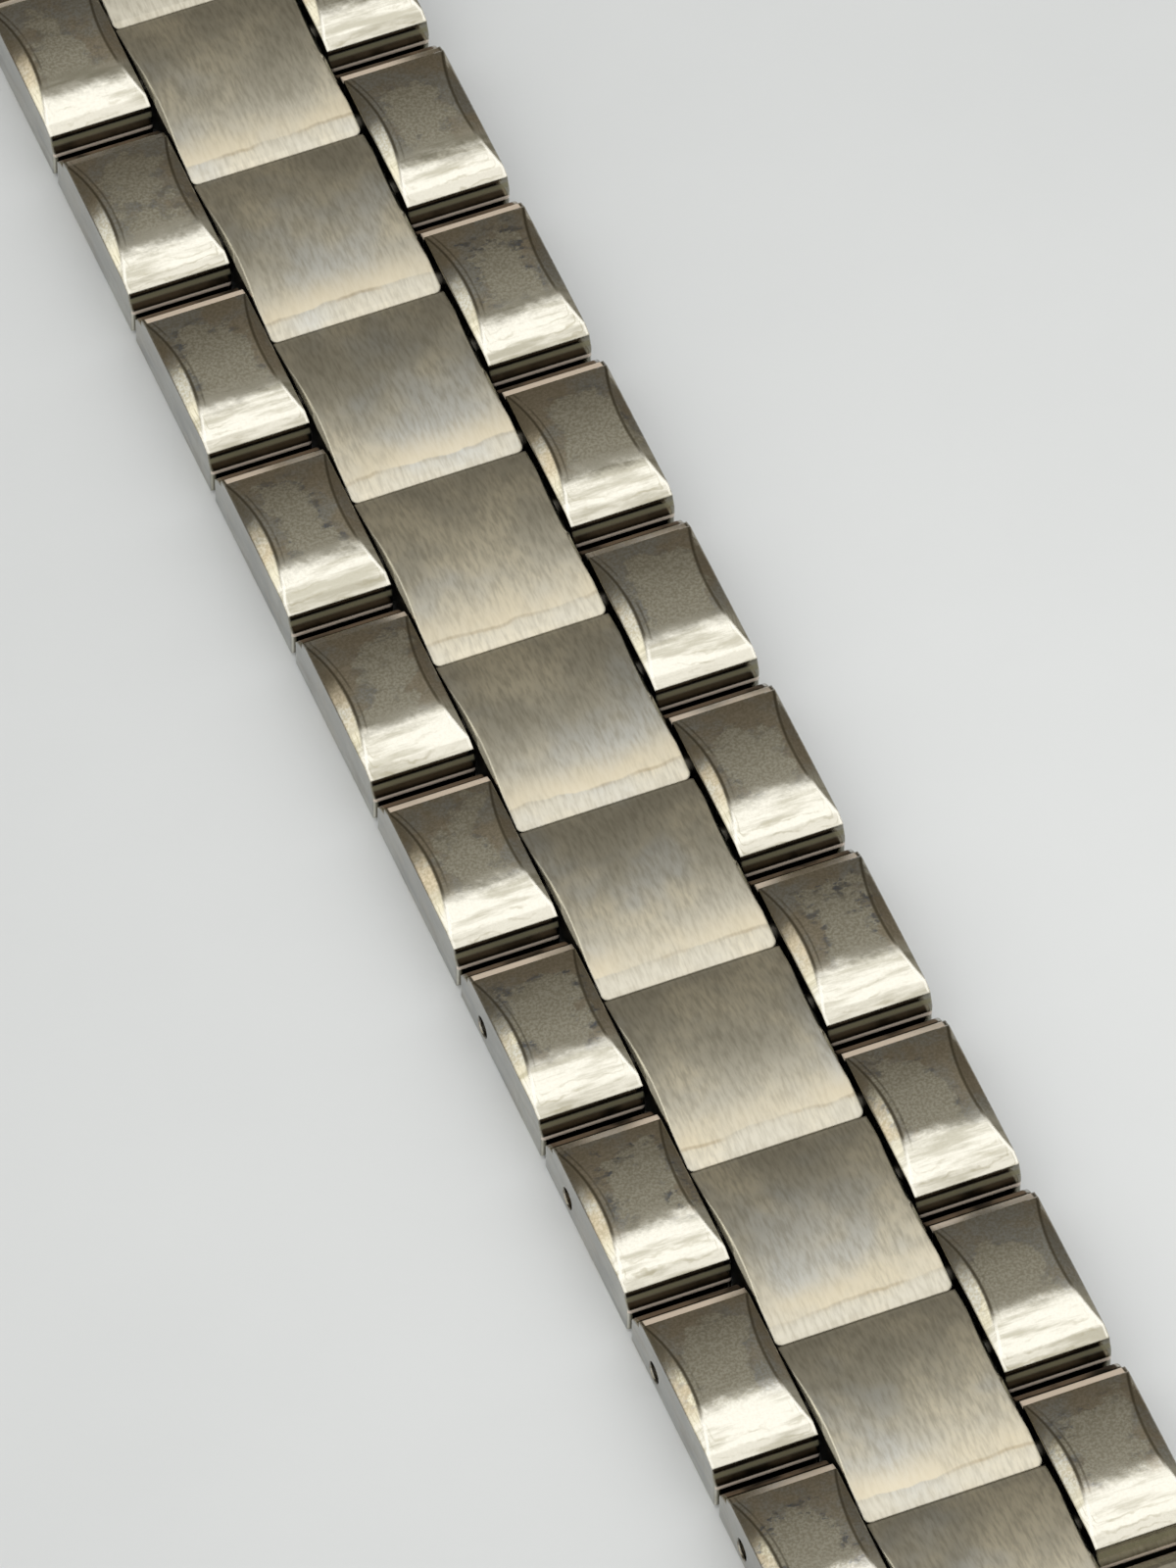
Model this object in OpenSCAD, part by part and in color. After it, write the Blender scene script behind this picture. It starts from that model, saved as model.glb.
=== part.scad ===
// Three-row steel watch bracelet with a folding clasp, laid out flat and closed.
// X runs across the band, Y along it, Z up. The long half runs to +Y, the short half to -Y.
// A unit is a pair of side links that a fixed pin joins to a centre link. The nose of the
// centre link turns on the hinge pin at the back of the next unit's side links.

/* [Band] */
// Width over the side links
band_w = 18; // [16:0.5:22]
// Distance from one hinge to the next
pitch = 9.7; // [9:0.1:11]
// Units in the half that runs to +Y
long_units = 10; // [5:1:10]
// Units in the half that runs to -Y
short_units = 3; // [2:1:3]
// Units next to the clasp whose hinge pins can be driven out of the side
removable_units = 4; // [0:1:5]

/* [Side links] */
// Width of one side link
side_w = 4.78; // [4:0.02:5.5]
// Height at the front and back edges of the arched top
side_edge_h = 2.42; // [2.2:0.02:2.6]
// Height at the crest of the arched top
side_h = 2.95; // [2.8:0.05:3.1]
// Radius of the lengthwise arch
side_arch_r = 19; // [15:0.5:30]
// Length of the bright bevel at the front edge
front_bevel = 0.7; // [0.4:0.05:1]
// Rise of that bevel
bevel_rise = 0.25; // [0.15:0.01:0.35]
// Width of the bevels along both long edges
long_bevel = 0.6; // [0.3:0.05:0.8]
// Drop of those bevels from the crest to the side face
long_bevel_drop = 0.34; // [0.25:0.01:0.5]
// How far the lip at the front reaches past the bevel
front_lip = 0.38; // [0.2:0.02:0.6]
// Height of the lip at the front
front_lip_h = 1.45; // [1.2:0.05:1.7]
// Radius of the rounded nose at the back
back_nose_r = 1.35; // [1.1:0.05:1.5]
// Distance from the back of the nose to the start of the arched top
back_step = 1.5; // [1.4:0.05:1.9]
// Length of the bevel at the back of the arched top
back_bevel = 0.4; // [0.15:0.05:0.45]
// Rounding of the upright edges at the back
back_corner_r = 0.4; // [0.2:0.05:0.6]
// Rounding of the upright edges at the front
front_corner_r = 0.2; // [0.1:0.05:0.3]

/* [Centre links] */
// Height at the crest of the arched top
centre_h = 2.6; // [2.5:0.05:2.8]
// Height of the top's edges at the seams
centre_edge_h = 2.05; // [1.9:0.05:2.1]
// Gap between a centre link and the side links
row_gap = 0.2; // [0.1:0.02:0.3]
// Gap between one centre link and the next
seam_gap = 0.1; // [0.08:0.01:0.2]
// Rounding of the upright corners at the front
centre_corner_r = 0.3; // [0.2:0.05:0.8]
// Bevel along the long edges
centre_bevel = 0.22; // [0.1:0.02:0.4]
// Height of the slope under the nose, which lets the band curl
nose_slope_h = 0.55; // [0.45:0.05:0.7]

/* [Hinges] */
// Height of the hinge pins above the underside
axis_h = 1; // [0.95:0.05:1.2]
// Diameter of the link pins
pin_d = 1; // [0.8:0.05:1.1]
// Distance from a hinge to the back of the side links that carry its pin
side_back = 2.8; // [2.4:0.05:3]
// Distance from a hinge to the front of the centre link's nose
nose_front = 1.42; // [1.3:0.02:1.5]
// Gap between the side links of one unit and those of the next
side_gap = 0.12; // [0.1:0.01:0.25]
// Distance from the back of the side links to the fixed pin
fixed_pin_back = 6.9; // [6.2:0.1:7.5]
// Radial clearance of a turning pin
run_clear = 0.04; // [0.02:0.01:0.06]
// Radial clearance of a seated pin
seat_clear = 0.02; // [0.01:0.01:0.03]
// Depth of a removable pin's end below the side face
pin_recess = 0.5; // [0.2:0.05:0.6]
// Wall left over the end of a pin that can't be removed
pin_cover = 0.6; // [0.4:0.05:1]
// Gap between the end of such a pin and that wall
pin_end_gap = 0.05; // [0.02:0.01:0.1]

/* [Clasp] */
// Thickness of the cover's top
cover_sheet = 0.9; // [0.7:0.05:1.2]
// Thickness of the cover's walls
cover_wall = 0.9; // [0.7:0.05:1.1]
// Height of the bottom edges of the cover's walls above the table
cover_foot = 0.1; // [0.05:0.05:0.2]
// Bevel around the cover's top
cover_bevel = 0.8; // [0.4:0.05:0.9]
// Gap on each side between the cover's walls and the blades and links
cover_gap = 0.2; // [0.15:0.05:0.3]
// Distance from the outermost adjusting hole to the cover's end
cover_reach = 1.6; // [1.3:0.05:2]
// Distance between the hinges of the upper blade
blade_len = 21; // [18:0.5:26]
// Thickness of both blades
blade_t = 0.8; // [0.6:0.05:0.9]
// Height of the lower blade above the table
lower_blade_z = 0.2; // [0.1:0.05:0.25]
// Gap between the lower blade and the upper blade
blade_space = 0.4; // [0.3:0.05:0.5]
// Diameter of the clasp's hinge pins
clasp_pin_d = 1.1; // [0.9:0.05:1.2]
// Outer radius of the blades' knuckles
knuckle_r = 1; // [0.9:0.05:1.1]
// Gap between a knuckle and what turns round it
knuckle_gap = 0.15; // [0.1:0.01:0.2]
// Width of the middle knuckle between the blades
middle_knuckle_w = 6; // [4:0.5:8]
// Gap on each side of the middle knuckle
knuckle_side_gap = 0.1; // [0.05:0.01:0.2]
// Depth of the fork that holds the first long unit, from its back to the hinge
fork_depth = 2.6; // [2.3:0.05:3]
// Distance from one adjusting hole to the next
adjust_step = 2.5; // [2:0.1:3]
// Adjusting holes in each wall
adjust_holes = 3; // [2:1:3]
// Gap between the clasp's ends and the links beside them
clasp_gap = 0.3; // [0.25:0.05:0.4]

/* [Spring bars] */
// Outer diameter of the barrel
bar_d = 1.4; // [1.3:0.05:1.5]
// Wall of the barrel
bar_wall = 0.15; // [0.12:0.01:0.17]
// Diameter of the pivots at the tips
tip_d = 0.75; // [0.6:0.05:0.8]
// How far each pivot stands out of its end link
tip_out = 0.9; // [0.7:0.05:1.2]
// How much thinner a tip is where it meets its head than at its pivot
tip_taper = 0.04; // [0.02:0.01:0.08]
// Length of a tip's head inside the barrel
head_len = 1.2; // [0.8:0.1:2]
// Length of the barrel's turned-in ends
crimp_len = 0.4; // [0.3:0.05:0.6]
// Wall of the coil between the heads
coil_wall = 0.15; // [0.1:0.01:0.2]
// Gap between the end of a barrel and the face beside it
bar_end_gap = 0.1; // [0.1:0.05:0.2]
// Distance from an end link's front to its spring bar
bar_reach = 4.6; // [4:0.1:6]
// Radius of an end link's rounded end
end_r = 1.45; // [1.3:0.05:1.5]

/* [Hidden] */
$fn = 48;
eps = 0.01;
// How far a cut runs past the face that it opens
past = 1;
arch_fn = 180;

// Small bevels and offsets of the links
under_edge = 0.15;
side_foot = 0.28;
lip_edge = 0.12;
nose_drop = 0.25;
nose_foot = [0.35, 0.4];
side_crest_shift = -0.3;
centre_crest_shift = 0.2;
centre_foot = 0.25;
centre_edge = 0.12;

// Places in a unit, from its nose hinge at y = 0 to its back hinge at y = pitch
centre_w = band_w - 2 * side_w - 2 * row_gap;
side_y0 = side_back + side_gap;
side_y1 = side_back + pitch;
centre_y1 = pitch - nose_front - seam_gap;
fixed_pin_y = side_y1 - fixed_pin_back;
end_bar_y = side_y0 + bar_reach;

// Places along the clasp, from the fork that holds the long half back to the short half
cover_in_w = band_w + 2 * cover_gap;
cover_w = cover_in_w + 2 * cover_wall;
cover_hinge_y = 0;
cover_hinge_z = lower_blade_z + blade_t + knuckle_gap + knuckle_r;
cover_end_r = knuckle_r + knuckle_gap + cover_sheet;
cover_h = cover_hinge_z + cover_end_r;
cover_lip = 0.2;
fork_y = cover_hinge_y + cover_end_r + clasp_gap + fork_depth;
fork_back = fork_y - fork_depth;
blade_hinge_y = cover_hinge_y - blade_len;
blade_hinge_z = lower_blade_z + knuckle_r;
upper_blade_z = lower_blade_z + blade_t + blade_space;
outer_knuckle_w = (band_w - middle_knuckle_w) / 2;
bar_y = blade_hinge_y - knuckle_r - 2 * clasp_gap - nose_front - (adjust_holes - 1) * adjust_step;
cover_y0 = bar_y - cover_reach;

// Sizes inside the spring bars
bar_bore_r = bar_d / 2 - bar_wall;
head_r = bar_bore_r - run_clear;
tip_bore_r = tip_d / 2 + run_clear;
end_barrel_len = band_w - 2 * bar_end_gap;
clasp_barrel_len = cover_in_w - 2 * bar_end_gap;

// Where the whole band is centred
long_end = fork_y + long_units * pitch + end_bar_y + end_r;
short_end = bar_y - short_units * pitch - end_bar_y - end_r;
mid_y = (long_end + short_end) / 2;

steel = [0.72, 0.71, 0.66];
satin = [0.62, 0.61, 0.56];
pin_steel = [0.5, 0.5, 0.48];

function two(k) = str(k < 10 ? "0" : "", k);
function unit_nodes(half, n) = [
    for (k = [1:n], p = ["sides", "centre", "pins"])
        str(half, "_", two(k), "_", p)
];

// Rod along X from x0 to x1
module rod(r, x0, x1, y, z) {
    translate([x0, y, z])
        rotate([0, 90, 0])
            cylinder(r = r, h = x1 - x0);
}

// Rod along X with its middle at x = 0
module centred_rod(r, len, y, z) {
    rod(r, -len / 2, len / 2, y, z);
}

// Draws the children, which lie at +X, on both sides of the band
module both_sides() {
    children();
    mirror([1, 0, 0])
        children();
}

// Extrudes a (y, z) outline across X
module across(x0, x1) {
    translate([x0, 0, 0])
        rotate([90, 0, 90])
            linear_extrude(x1 - x0)
                children();
}

// Extrudes an (x, z) outline along Y
module along(y0, y1) {
    translate([0, y1, 0])
        rotate([90, 0, 0])
            linear_extrude(y1 - y0)
                children();
}

// Region under an arch whose crest is at (mid, crest)
module under_arch(mid, crest, r) {
    intersection() {
        translate([mid, crest - r])
            circle(r = r, $fn = arch_fn);
        translate([mid - r, -past])
            square([2 * r, crest + 2 * past]);
    }
}

// Lengthwise outline of a side link from its front at y0 to its back at y1
module side_outline(y0, y1, nose = true) {
    tip = y0 + front_lip;
    crest = (y0 + y1) / 2 + side_crest_shift;
    top = nose ? y1 - back_step : y1;
    nose_z = axis_h - nose_drop;
    intersection() {
        under_arch(crest, side_h, side_arch_r);
        union() {
            polygon([
                [y0 + side_foot, 0], [y0, side_foot], [y0, front_lip_h], [tip, side_edge_h - lip_edge],
                [tip, side_edge_h], [tip + front_bevel, side_edge_h + bevel_rise],
                [tip + front_bevel, side_h + past], [top, side_h + past], [top, side_edge_h + under_edge],
                [top + back_bevel, side_edge_h], [top + back_bevel, 0]
            ]);
            if (nose) {
                intersection() {
                    translate([y1 - back_nose_r, nose_z])
                        circle(r = back_nose_r);
                    translate([tip, nose_z])
                        square([y1 - tip, back_nose_r + past]);
                }
                polygon([
                    [top, 0], [y1 - nose_foot.x, 0], [y1, nose_foot.y],
                    [y1, nose_z + eps], [top, nose_z + eps]
                ]);
            }
        }
    }
}

// Cross-section of a side link from x = 0 to x = w, with its two long bevels
module side_section(w) {
    shoulder = side_h - long_bevel_drop;
    polygon([
        [under_edge, 0], [0, under_edge], [0, shoulder], [long_bevel, side_h + eps],
        [w - long_bevel, side_h + eps], [w, shoulder], [w, under_edge], [w - under_edge, 0]
    ]);
}

// Plan of a side link, rounded at all four corners
module side_plan(y0, y1, w) {
    front = front_corner_r;
    back = back_corner_r;
    translate([0, y0 + front])
        square([w, y1 - y0 - front - back]);
    translate([back, y0 + front])
        square([w - 2 * back, y1 - y0 - front]);
    translate([front, y0])
        square([w - 2 * front, 2 * front]);
    for (side = [0, 1])
        translate([side * w, 0])
            mirror([side, 0, 0]) {
                translate([front, y0 + front])
                    circle(r = front);
                translate([back, y1 - back])
                    circle(r = back);
            }
}

// One block with a side link's form from x = x0 to x = x0 + w
module side_block(x0, y0, y1, w) {
    translate([x0, 0, 0])
        intersection() {
            across(0, w)
                side_outline(y0, y1);
            along(y0 - past, y1 + past)
                side_section(w);
            translate([0, 0, -past])
                linear_extrude(side_h + 2 * past)
                    side_plan(y0, y1, w);
        }
}

// Both side links, with seats for the fixed pin and for the hinge pin at the back
module side_pair(through) {
    blind = band_w - 2 * pin_cover;
    difference() {
        both_sides()
            side_block(band_w / 2 - side_w, side_y0, side_y1, side_w);
        centred_rod(pin_d / 2 + seat_clear, blind, fixed_pin_y, axis_h);
        centred_rod(pin_d / 2 + seat_clear, through ? band_w + past : blind, pitch, axis_h);
    }
}

// Lengthwise outline of a centre link from the front of its nose to its back
module centre_outline(y0, y1) {
    half = (y1 - y0 - front_bevel) / 2;
    sag = centre_h - centre_edge_h - under_edge;
    r = (half * half + sag * sag) / (2 * sag);
    intersection() {
        under_arch((y0 + y1) / 2 + centre_crest_shift, centre_h, r);
        polygon([
            [y0 + centre_foot, 0], [y0, nose_slope_h], [y0, centre_edge_h],
            [y0 + front_bevel, centre_edge_h + bevel_rise], [y0 + front_bevel, centre_h + past],
            [y1, centre_h + past], [y1, centre_edge], [y1 - centre_edge, 0]
        ]);
    }
}

// Cross-section of a centre link
module centre_section() {
    half = centre_w / 2;
    shoulder = centre_h - centre_bevel;
    polygon([
        [centre_edge - half, 0], [-half, centre_edge], [-half, shoulder],
        [centre_bevel - half, centre_h + eps], [half - centre_bevel, centre_h + eps],
        [half, shoulder], [half, centre_edge], [half - centre_edge, 0]
    ]);
}

// Plan of a centre link, rounded at the front corners
module centre_plan(y0, y1) {
    r = centre_corner_r;
    translate([-centre_w / 2, y0 + r])
        square([centre_w, y1 - y0 - r]);
    translate([r - centre_w / 2, y0])
        square([centre_w - 2 * r, y1 - y0]);
    for (x = [r - centre_w / 2, centre_w / 2 - r])
        translate([x, y0 + r])
            circle(r = r);
}

module centre_block(y0, y1) {
    intersection() {
        across(-centre_w / 2, centre_w / 2)
            centre_outline(y0, y1);
        along(y0 - past, y1 + past)
            centre_section();
        translate([0, 0, -past])
            linear_extrude(centre_h + 2 * past)
                centre_plan(y0, y1);
    }
}

// Centre link whose nose turns on a pin or barrel of diameter hinge_d
module centre_link(hinge_d) {
    difference() {
        centre_block(-nose_front, centre_y1);
        centred_rod(hinge_d / 2 + run_clear, centre_w + past, 0, axis_h);
        centred_rod(pin_d / 2 + seat_clear, centre_w + past, fixed_pin_y, axis_h);
    }
}

// The unit's fixed pin, and the hinge pin for the next unit's nose
module unit_pins(through) {
    blind = band_w - 2 * pin_cover - 2 * pin_end_gap;
    centred_rod(pin_d / 2, blind, fixed_pin_y, axis_h);
    centred_rod(pin_d / 2, through ? band_w - 2 * pin_recess : blind, pitch, axis_h);
}

// One of the three nodes of a unit
module unit_part(part, through, hinge_d = pin_d) {
    if (part == "sides")
        color(steel)
            side_pair(through);
    if (part == "centre")
        color(satin)
            centre_link(hinge_d);
    if (part == "pins")
        color(pin_steel)
            unit_pins(through);
}

// Rounds off everything behind y, for a block that ends at a cross bore
module rounded_to(y) {
    translate([-past * 2 - nose_front, -past])
        square([y + nose_front + 2 * past, side_h + 2 * past]);
    translate([y, end_r])
        circle(r = end_r);
}

// End link: a nose for the last unit, and a cross bore for the spring bar
module end_link() {
    back = end_bar_y + end_r;
    body_h = centre_edge_h - 2 * lower_blade_z;
    difference() {
        union() {
            both_sides()
                intersection() {
                    translate([band_w / 2 - side_w, 0, 0])
                        intersection() {
                            across(0, side_w)
                                side_outline(side_y0, back, false);
                            along(side_y0 - past, back + past)
                                side_section(side_w);
                        }
                    across(0, band_w / 2)
                        rounded_to(end_bar_y);
                }
            intersection() {
                centre_block(-nose_front, back);
                across(-centre_w / 2, centre_w / 2)
                    rounded_to(end_bar_y);
            }
            translate([past - band_w / 2, side_y0 + past, lower_blade_z])
                cube([band_w - 2 * past, bar_reach - past, body_h]);
            centred_rod(end_r, band_w - 2 * past, end_bar_y, end_r);
        }
        centred_rod(pin_d / 2 + run_clear, centre_w + 2 * row_gap, 0, axis_h);
        centred_rod(bar_d / 2 + run_clear, band_w + past, end_bar_y, end_r);
    }
}

// Barrel of a spring bar along X, with its ends turned in to hold the tips
module barrel(len, y, z) {
    difference() {
        centred_rod(bar_d / 2, len, y, z);
        centred_rod(bar_bore_r, len - 2 * crimp_len, y, z);
        centred_rod(tip_bore_r, len + past, y, z);
    }
}

// Right tip of a spring bar: a pivot outside, a head that is trapped in the barrel, and a
// slightly tapered neck between them that slides in the barrel's end
module tip(len, out, y, z) {
    head_x = len / 2 - crimp_len - seat_clear;
    pivot_x = len / 2 + bar_end_gap;
    rod(tip_d / 2, pivot_x, len / 2 + out, y, z);
    translate([head_x - eps, y, z])
        rotate([0, 90, 0])
            cylinder(r1 = (tip_d - tip_taper) / 2, r2 = tip_d / 2, h = pivot_x - head_x + eps);
    rod(head_r, head_x - head_len, head_x, y, z);
}

// Coil of a spring bar as a plain sleeve between the two heads
module coil(len, y, z) {
    coil_len = len - 2 * (crimp_len + seat_clear + head_len + seat_clear);
    difference() {
        centred_rod(head_r, coil_len, y, z);
        centred_rod(head_r - coil_wall, coil_len + past, y, z);
    }
}

// One of the four nodes of a spring bar, whose pivots stand out past the barrel's ends
module bar_part(part, len, out, y, z) {
    color(pin_steel) {
        if (part == "barrel")
            barrel(len, y, z);
        if (part == "spring")
            coil(len, y, z);
        if (part == "left_tip")
            mirror([1, 0, 0])
                tip(len, out, y, z);
        if (part == "right_tip")
            tip(len, out, y, z);
    }
}

// Puts a unit of the long half in its place
module at_long(k) {
    translate([0, fork_y + (k - 1) * pitch - mid_y, 0])
        children();
}

// Puts a unit of the short half in its place, turned round
module at_short(k) {
    translate([0, bar_y - (k - 1) * pitch - mid_y, 0])
        rotate([0, 0, 180])
            children();
}

module at_clasp() {
    translate([0, -mid_y, 0])
        children();
}

// Outer form of the clasp cover, round the hinge at one end and bevelled at the other
module cover_block() {
    across(-cover_w / 2, cover_w / 2)
        polygon([
            [cover_y0, cover_foot], [cover_y0, cover_h - cover_bevel], [cover_y0 + cover_bevel, cover_h],
            [cover_hinge_y, cover_h], [cover_hinge_y, cover_foot]
        ]);
    centred_rod(cover_end_r, cover_w, cover_hinge_y, cover_hinge_z);
}

// Cross-section of the clasp cover, bevelled along both top edges
module cover_section() {
    half = cover_w / 2;
    polygon([
        [-half, 0], [-half, cover_h - cover_bevel], [cover_bevel - half, cover_h + eps],
        [half - cover_bevel, cover_h + eps], [half, cover_h - cover_bevel], [half, 0]
    ]);
}

module clasp_cover() {
    in_h = cover_h - cover_sheet;
    color(steel)
        at_clasp()
            difference() {
                intersection() {
                    cover_block();
                    along(cover_y0 - past, cover_hinge_y + cover_end_r + past)
                        cover_section();
                }
                translate([-cover_in_w / 2, cover_y0 - past, -past])
                    cube([cover_in_w, cover_hinge_y + cover_lip - cover_y0 + 2 * past, in_h + past]);
                translate([-cover_in_w / 2, cover_hinge_y + cover_lip, -past])
                    cube([cover_in_w, cover_end_r + past, cover_h + 2 * past]);
                centred_rod(clasp_pin_d / 2 + seat_clear, cover_w + past, cover_hinge_y, cover_hinge_z);
                for (i = [0:adjust_holes - 1])
                    centred_rod(tip_bore_r, cover_w + past, bar_y + i * adjust_step, axis_h);
            }
}

module clasp_cover_pin() {
    color(pin_steel)
        at_clasp()
            centred_rod(clasp_pin_d / 2, cover_w - 2 * pin_end_gap, cover_hinge_y, cover_hinge_z);
}

// Upper blade, with a knuckle under the cover and one on each side of the middle knuckle
module clasp_upper_blade() {
    notch_r = knuckle_r + knuckle_gap;
    notch_w = middle_knuckle_w + 2 * knuckle_side_gap;
    color(steel)
        at_clasp()
            difference() {
                union() {
                    translate([-band_w / 2, blade_hinge_y, upper_blade_z])
                        cube([band_w, blade_len, blade_t]);
                    centred_rod(knuckle_r, band_w, cover_hinge_y, cover_hinge_z);
                    both_sides()
                        rod(knuckle_r, middle_knuckle_w / 2, band_w / 2, blade_hinge_y, blade_hinge_z);
                }
                translate([-notch_w / 2, blade_hinge_y - notch_r, 0])
                    cube([notch_w, 2 * notch_r, cover_h]);
                centred_rod(clasp_pin_d / 2 + run_clear, band_w + past, cover_hinge_y, cover_hinge_z);
                centred_rod(clasp_pin_d / 2 + run_clear, band_w + past, blade_hinge_y, blade_hinge_z);
            }
}

module clasp_blade_pin() {
    color(pin_steel)
        at_clasp()
            centred_rod(clasp_pin_d / 2, band_w, blade_hinge_y, blade_hinge_z);
}

// Lower blade, with the middle knuckle at one end and the fork for the first long unit at the other
module clasp_lower_blade() {
    notch_r = knuckle_r + knuckle_gap;
    mouth_y = fork_y - nose_front - seam_gap;
    fork_front = fork_y + side_back;
    color(steel)
        at_clasp()
            difference() {
                union() {
                    translate([-band_w / 2, blade_hinge_y, lower_blade_z])
                        cube([band_w, fork_back - blade_hinge_y + past / 2, blade_t]);
                    centred_rod(knuckle_r, middle_knuckle_w, blade_hinge_y, blade_hinge_z);
                    difference() {
                        side_block(-band_w / 2, fork_back - front_lip, fork_front, band_w);
                        translate([-band_w / 2 - past, fork_back - 2 * past, -past])
                            cube([band_w + 2 * past, 2 * past, side_h + 2 * past]);
                    }
                }
                both_sides()
                    translate([middle_knuckle_w / 2, blade_hinge_y - notch_r, 0])
                        cube([outer_knuckle_w + past, 2 * notch_r, cover_h]);
                translate([-centre_w / 2 - row_gap, mouth_y, -past])
                    cube([centre_w + 2 * row_gap, fork_front - mouth_y + past, side_h + 2 * past]);
                centred_rod(clasp_pin_d / 2 + seat_clear, band_w, blade_hinge_y, blade_hinge_z);
                centred_rod(pin_d / 2 + seat_clear, band_w + past, fork_y, axis_h);
            }
}

module clasp_link_pin() {
    color(pin_steel)
        at_clasp()
            centred_rod(pin_d / 2, band_w - 2 * pin_recess, fork_y, axis_h);
}

clasp_cover();
clasp_cover_pin();
clasp_upper_blade();
clasp_blade_pin();
clasp_lower_blade();
clasp_link_pin();
for (p = ["barrel", "spring", "left_tip", "right_tip"]) {
    at_clasp()
            bar_part(p, clasp_barrel_len, bar_end_gap + cover_wall, bar_y, axis_h);
    at_long(long_units + 1)
            bar_part(p, end_barrel_len, bar_end_gap + tip_out, end_bar_y, end_r);
    at_short(short_units + 1)
            bar_part(p, end_barrel_len, bar_end_gap + tip_out, end_bar_y, end_r);
}
for (k = [1:long_units], p = ["sides", "centre", "pins"])
    at_long(k)
            unit_part(p, k <= removable_units);
for (k = [1:short_units], p = ["sides", "centre", "pins"])
    at_short(k)
            unit_part(p, false, k == 1 ? bar_d : pin_d);
at_long(long_units + 1) color(steel) end_link();  // long_end_link
at_short(short_units + 1) color(steel) end_link();  // short_end_link
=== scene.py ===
import math

import bpy
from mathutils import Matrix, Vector


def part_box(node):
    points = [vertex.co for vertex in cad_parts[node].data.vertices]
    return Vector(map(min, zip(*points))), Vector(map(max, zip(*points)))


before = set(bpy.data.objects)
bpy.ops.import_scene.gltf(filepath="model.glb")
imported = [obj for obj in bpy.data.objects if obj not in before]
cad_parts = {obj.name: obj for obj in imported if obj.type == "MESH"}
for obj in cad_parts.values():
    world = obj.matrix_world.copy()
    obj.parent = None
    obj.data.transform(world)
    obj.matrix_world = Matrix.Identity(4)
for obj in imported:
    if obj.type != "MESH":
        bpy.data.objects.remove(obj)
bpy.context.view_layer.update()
MM = 0.001

# The camera stands far off above the left edge of the long half, whose ten links fill the
# picture from corner to corner. The clasp and both ends of the band lie outside the picture.
# The picture's height and the focal length are in pixels.
PICTURE_HEIGHT = 1600
FOCAL_LENGTH = 16000
SENSOR = 36
NEAREST = 10 * MM
AIM = Vector((0.33, 32.93, 0)) * MM
AZIMUTH = math.radians(-21.98)
ELEVATION = math.radians(52.72)
DISTANCE = 677.4 * MM

back = Vector((
    math.sin(AZIMUTH) * math.cos(ELEVATION),
    -math.cos(AZIMUTH) * math.cos(ELEVATION),
    math.sin(ELEVATION),
))
lens = bpy.data.cameras.new("camera")
lens.sensor_width = SENSOR
lens.lens = SENSOR * FOCAL_LENGTH / PICTURE_HEIGHT
lens.clip_start = NEAREST
camera = bpy.data.objects.new("camera", lens)
camera.location = AIM + back * DISTANCE
camera.rotation_euler = back.to_track_quat("Z", "Y").to_euler()
scene = bpy.context.scene
scene.collection.objects.link(camera)
scene.camera = camera
scene.view_settings.view_transform = "Standard"

# The room gives one broad soft light from overhead and from the near side, and is dim on the
# far side. Polished tops show the dim side, and their fronts roll over into the light.
LIGHT_EDGE = math.radians(65)
LIGHT_SOFTNESS = (-0.02, 0.05)
LIGHT_COLOUR = (1.42, 1.41, 1.37, 1)
ZENITH_COLOUR = (1.16, 1.14, 1.08, 1)
ZENITH_TURN = (0.2, 0.45)
DIM_COLOUR = (0.17, 0.155, 0.125, 1)
NEAR_COLOUR = (0.36, 0.345, 0.295, 1)
DIM_TURN = (-0.55, -0.03)
LEFT_COLOUR = (1.3, 1.25, 1.06, 1)
LEFT_EDGE = (0.3, 0.55)
LEFT_HEIGHT = (-0.42, -0.18)
BACKDROP_COLOUR = (0.74, 0.74, 0.745, 1)


def add(tree, kind, inputs=None, **options):
    """Adds a node, sets its options, and fills or links its inputs."""
    made = tree.nodes.new("ShaderNode" + kind)
    for name, value in options.items():
        setattr(made, name, value)
    for name, value in (inputs or {}).items():
        if isinstance(value, bpy.types.NodeSocket):
            tree.links.new(value, made.inputs[name])
        else:
            made.inputs[name].default_value = value
    return made


def maths(tree, operation, *values):
    """Works out one number from others."""
    return add(tree, "Math", dict(enumerate(values)), operation=operation).outputs[0]


def vectors(tree, operation, *values):
    """Works out one number or direction from directions or places."""
    made = add(tree, "VectorMath", dict(enumerate(values)), operation=operation)
    return made.outputs["Value" if operation in ("DOT_PRODUCT", "DISTANCE") else "Vector"]


def times(tree, first, *others):
    """Multiplies masks with one another."""
    for other in others:
        first = maths(tree, "MULTIPLY", first, other)
    return first


def highest(tree, first, *others):
    """Gives the highest of several masks."""
    for other in others:
        first = maths(tree, "MAXIMUM", first, other)
    return first


def fade(tree, value, low, high, start=0.0, end=1.0):
    """Goes smoothly from start to end while the value goes from low to high."""
    inputs = {0: value, 1: low, 2: high, 3: start, 4: end}
    return add(tree, "MapRange", inputs, interpolation_type="SMOOTHSTEP").outputs[0]


def mixed(tree, share, first, second):
    """Mixes two colours."""
    return add(tree, "Mix", {0: share, 6: first, 7: second}, data_type="RGBA").outputs[2]


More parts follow.
